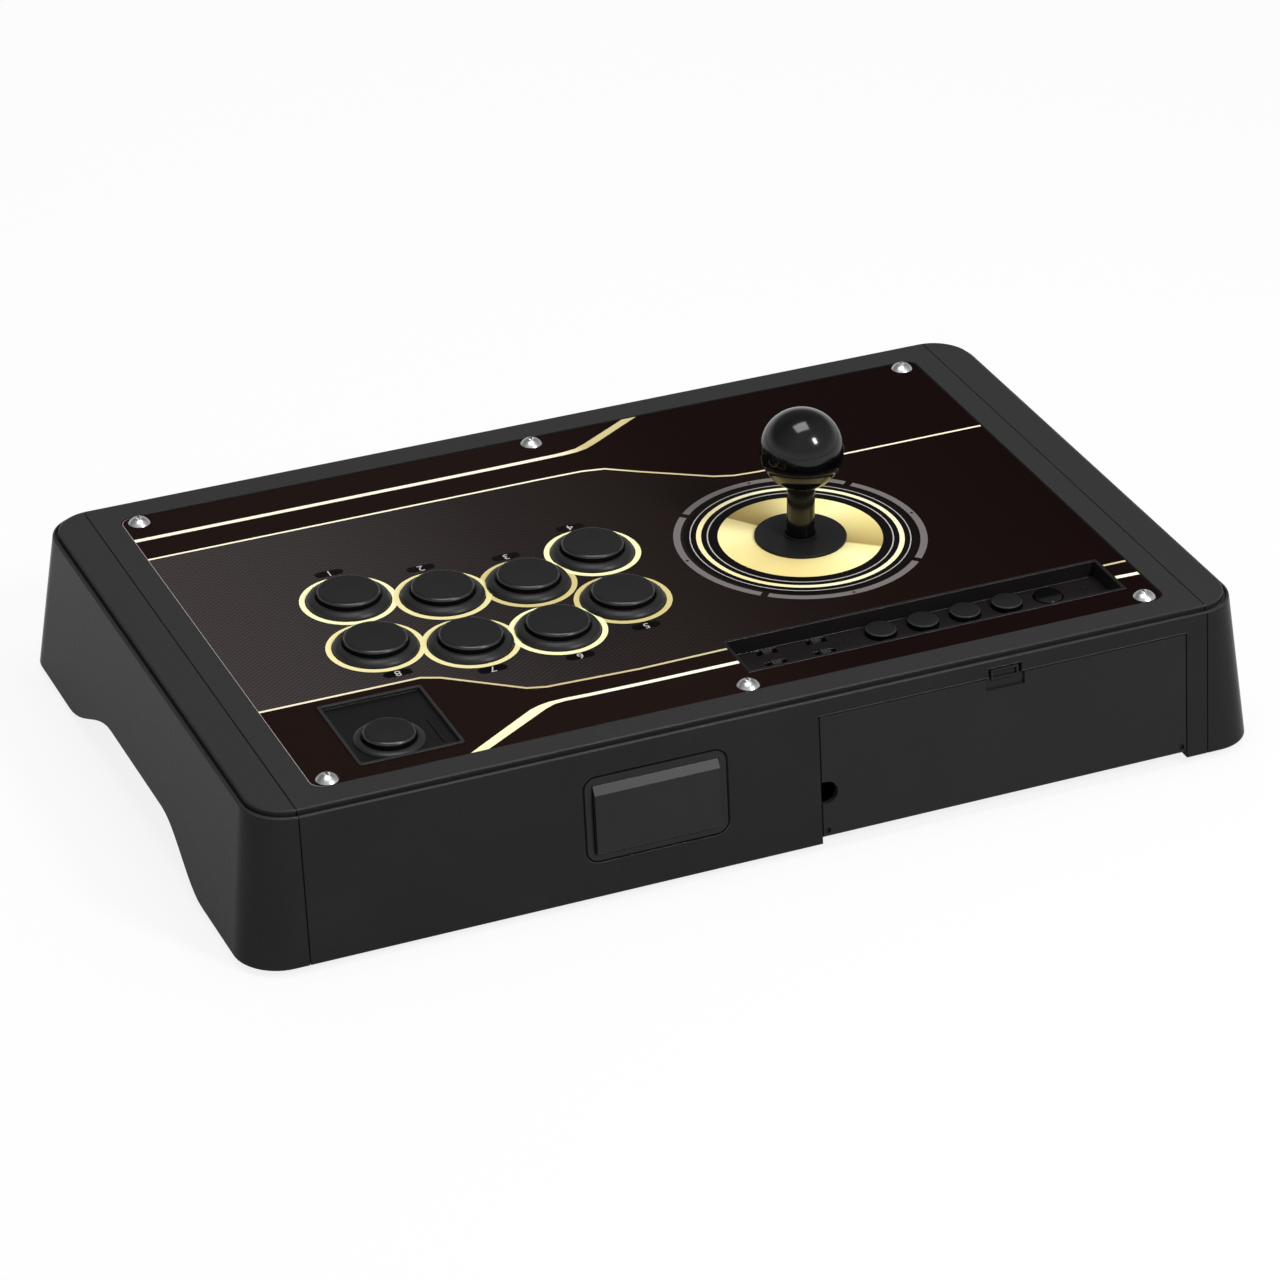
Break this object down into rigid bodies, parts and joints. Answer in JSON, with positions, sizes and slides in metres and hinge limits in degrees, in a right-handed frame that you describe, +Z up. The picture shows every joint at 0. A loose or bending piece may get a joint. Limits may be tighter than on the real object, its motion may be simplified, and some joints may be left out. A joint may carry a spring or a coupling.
{
  "type": "arcade fight stick",
  "caption": "Low drafted tabletop controller casing with a ball lever, round push buttons, a sunk control tray, a rear touch pad and a hinged cord compartment.",
  "frame": {"origin": "centre of the casing's footprint, on the surface that its rubber feet stand on", "axes": "+X to the player's right along the length, +Y from the player to the rear wall, +Z up"},
  "size_m": [0.43, 0.271, 0.1229],
  "materials": {
    "casing_plastic": "fine spark-eroded texture, charcoal grey, soft satin sheen",
    "button_plastic": "smooth satin charcoal moulding",
    "tray_plastic": "plain black moulding",
    "gloss_black": "polished black, clear reflections",
    "washer_plastic": "slightly glossy black sheet",
    "print_film": "near-black printed film with gold lines, satin",
    "plated_steel": "zinc plated",
    "bright_steel": "bright nickel",
    "painted_base": "black powder coat",
    "foot_rubber": "soft moulded rubber",
    "switch_plastic": "glass-filled switch body",
    "circuit_board": "green solder resist",
    "acetal": "natural acetal, slightly waxy",
    "window_plastic": "frosted light guide"
  },
  "bodies": {
    "main_shell": {"main_shell": "casing_plastic", "right_cheek": "casing_plastic", "left_cheek": "casing_plastic", "cheek_screws": "plated_steel", "bottom_plate": "painted_base", "base_screws": "plated_steel", "rubber_feet": "foot_rubber", "top_plate": "plated_steel", "panel_film": "print_film", "panel_screws": "bright_steel", "button_housings": "button_plastic", "button_switches": "switch_plastic", "small_button_bezel": "casing_plastic", "small_button_housing": "button_plastic", "control_tray": "tray_plastic", "indicator_windows": "window_plastic", "main_board": "circuit_board", "board_screws": "plated_steel", "touch_pad_frame": "casing_plastic", "touch_board": "circuit_board", "cord_compartment": "tray_plastic", "cord_gland": "foot_rubber", "lever_plate": "plated_steel", "lever_nuts": "plated_steel", "lever_housing": "tray_plastic", "restrictor_gate": "acetal", "lever_board": "circuit_board"},
    "lever_shaft": {"lever_shaft": "bright_steel", "pivot_ball": "acetal", "lever_spring": "bright_steel", "actuator": "tray_plastic", "e_clip": "bright_steel", "shaft_cover": "gloss_black", "ball_top": "gloss_black"},
    "pivot_bushing": {"pivot_bushing": "acetal"},
    "lower_dust_washer": {"lower_dust_washer": "washer_plastic"},
    "dust_washer": {"dust_washer": "washer_plastic"},
    "touch_pad": {"touch_pad": "casing_plastic"},
    "compartment_door": {"compartment_door": "casing_plastic"},
    "small_button_cap": {"small_button_cap": "button_plastic"},
    "home_button": {"home_button": "gloss_black"},
    "button_cap_1": {"button_cap_1": "button_plastic"},
    "button_cap_2": {"button_cap_2": "button_plastic"},
    "button_cap_3": {"button_cap_3": "button_plastic"},
    "button_cap_4": {"button_cap_4": "button_plastic"},
    "button_cap_5": {"button_cap_5": "button_plastic"},
    "button_cap_6": {"button_cap_6": "button_plastic"},
    "button_cap_7": {"button_cap_7": "button_plastic"},
    "button_cap_8": {"button_cap_8": "button_plastic"},
    "tray_button_1": {"tray_button_1": "button_plastic"},
    "tray_button_2": {"tray_button_2": "button_plastic"},
    "tray_button_3": {"tray_button_3": "button_plastic"},
    "tray_button_4": {"tray_button_4": "button_plastic"},
    "slide_knob_1": {"slide_knob_1": "tray_plastic"},
    "slide_knob_2": {"slide_knob_2": "tray_plastic"},
    "slide_knob_3": {"slide_knob_3": "tray_plastic"},
    "slide_knob_4": {"slide_knob_4": "tray_plastic"}
  },
  "joints": [
    {"name": "press_button_1", "type": "slide", "parent": "main_shell", "child": "button_cap_1", "axis": [0, 0, -1], "range_m": [0, 0.0036], "stiffness_N_per_m": 200, "springref_m": -0.002},
    {"name": "press_button_2", "type": "slide", "parent": "main_shell", "child": "button_cap_2", "axis": [0, 0, -1], "range_m": [0, 0.0036], "stiffness_N_per_m": 200, "springref_m": -0.002},
    {"name": "press_button_3", "type": "slide", "parent": "main_shell", "child": "button_cap_3", "axis": [0, 0, -1], "range_m": [0, 0.0036], "stiffness_N_per_m": 200, "springref_m": -0.002},
    {"name": "press_button_4", "type": "slide", "parent": "main_shell", "child": "button_cap_4", "axis": [0, 0, -1], "range_m": [0, 0.0036], "stiffness_N_per_m": 200, "springref_m": -0.002},
    {"name": "press_button_5", "type": "slide", "parent": "main_shell", "child": "button_cap_5", "axis": [0, 0, -1], "range_m": [0, 0.0036], "stiffness_N_per_m": 200, "springref_m": -0.002},
    {"name": "press_button_6", "type": "slide", "parent": "main_shell", "child": "button_cap_6", "axis": [0, 0, -1], "range_m": [0, 0.0036], "stiffness_N_per_m": 200, "springref_m": -0.002},
    {"name": "press_button_7", "type": "slide", "parent": "main_shell", "child": "button_cap_7", "axis": [0, 0, -1], "range_m": [0, 0.0036], "stiffness_N_per_m": 200, "springref_m": -0.002},
    {"name": "press_button_8", "type": "slide", "parent": "main_shell", "child": "button_cap_8", "axis": [0, 0, -1], "range_m": [0, 0.0036], "stiffness_N_per_m": 200, "springref_m": -0.002},
    {"name": "press_small_button", "type": "slide", "parent": "main_shell", "child": "small_button_cap", "axis": [0, 0, -1], "range_m": [0, 0.003], "stiffness_N_per_m": 200, "springref_m": -0.002},
    {"name": "press_tray_button_1", "type": "slide", "parent": "main_shell", "child": "tray_button_1", "axis": [0, 0, -1], "range_m": [0, 0.001], "stiffness_N_per_m": 400, "springref_m": -0.001},
    {"name": "press_tray_button_2", "type": "slide", "parent": "main_shell", "child": "tray_button_2", "axis": [0, 0, -1], "range_m": [0, 0.001], "stiffness_N_per_m": 400, "springref_m": -0.001},
    {"name": "press_tray_button_3", "type": "slide", "parent": "main_shell", "child": "tray_button_3", "axis": [0, 0, -1], "range_m": [0, 0.001], "stiffness_N_per_m": 400, "springref_m": -0.001},
    {"name": "press_tray_button_4", "type": "slide", "parent": "main_shell", "child": "tray_button_4", "axis": [0, 0, -1], "range_m": [0, 0.001], "stiffness_N_per_m": 400, "springref_m": -0.001},
    {"name": "press_home_button", "type": "slide", "parent": "main_shell", "child": "home_button", "axis": [0, 0, -1], "range_m": [0, 0.0008], "stiffness_N_per_m": 400, "springref_m": -0.001},
    {"name": "slide_switch_1", "type": "slide", "parent": "main_shell", "child": "slide_knob_1", "axis": [1, 0, 0], "range_m": [-0.002, 0.002]},
    {"name": "slide_switch_2", "type": "slide", "parent": "main_shell", "child": "slide_knob_2", "axis": [1, 0, 0], "range_m": [-0.002, 0.002]},
    {"name": "slide_switch_3", "type": "slide", "parent": "main_shell", "child": "slide_knob_3", "axis": [1, 0, 0], "range_m": [-0.002, 0.002]},
    {"name": "slide_switch_4", "type": "slide", "parent": "main_shell", "child": "slide_knob_4", "axis": [1, 0, 0], "range_m": [-0.002, 0.002]},
    {"name": "click_touch_pad", "type": "slide", "parent": "main_shell", "child": "touch_pad", "axis": [0, -0.9935, -0.1138], "range_m": [0, 0.0008], "stiffness_N_per_m": 600, "springref_m": -0.0008},
    {"name": "door_hinge", "type": "hinge", "parent": "main_shell", "child": "compartment_door", "pos_m": [-0.1012, 0.13283, 0.00695], "axis": [-1, 0, 0], "range_deg": [0, 90]},
    {"name": "lever_fore_aft", "type": "hinge", "parent": "main_shell", "child": "pivot_bushing", "pos_m": [-0.0686, 0.0107, 0.046], "axis": [1, 0, 0], "range_deg": [-8, 8], "stiffness_Nm_per_rad": 0.5},
    {"name": "lever_side_to_side", "type": "hinge", "parent": "pivot_bushing", "child": "lever_shaft", "pos_m": [-0.0686, 0.0107, 0.046], "axis": [0, 1, 0], "range_deg": [-8, 8], "stiffness_Nm_per_rad": 0.5},
    {"name": "lower_washer_slide", "type": "slide", "parent": "main_shell", "child": "lower_dust_washer", "axis": [0, 1, 0], "range_m": [-0.003, 0.003]},
    {"name": "upper_washer_slide", "type": "slide", "parent": "lower_dust_washer", "child": "dust_washer", "axis": [1, 0, 0], "range_m": [-0.003, 0.003]}
  ],
  "couplings": [
    {"joint": "lower_washer_slide", "follows": "lever_fore_aft", "m_per_rad": -0.0204},
    {"joint": "upper_washer_slide", "follows": "lever_side_to_side", "m_per_rad": 0.0204}
  ]
}
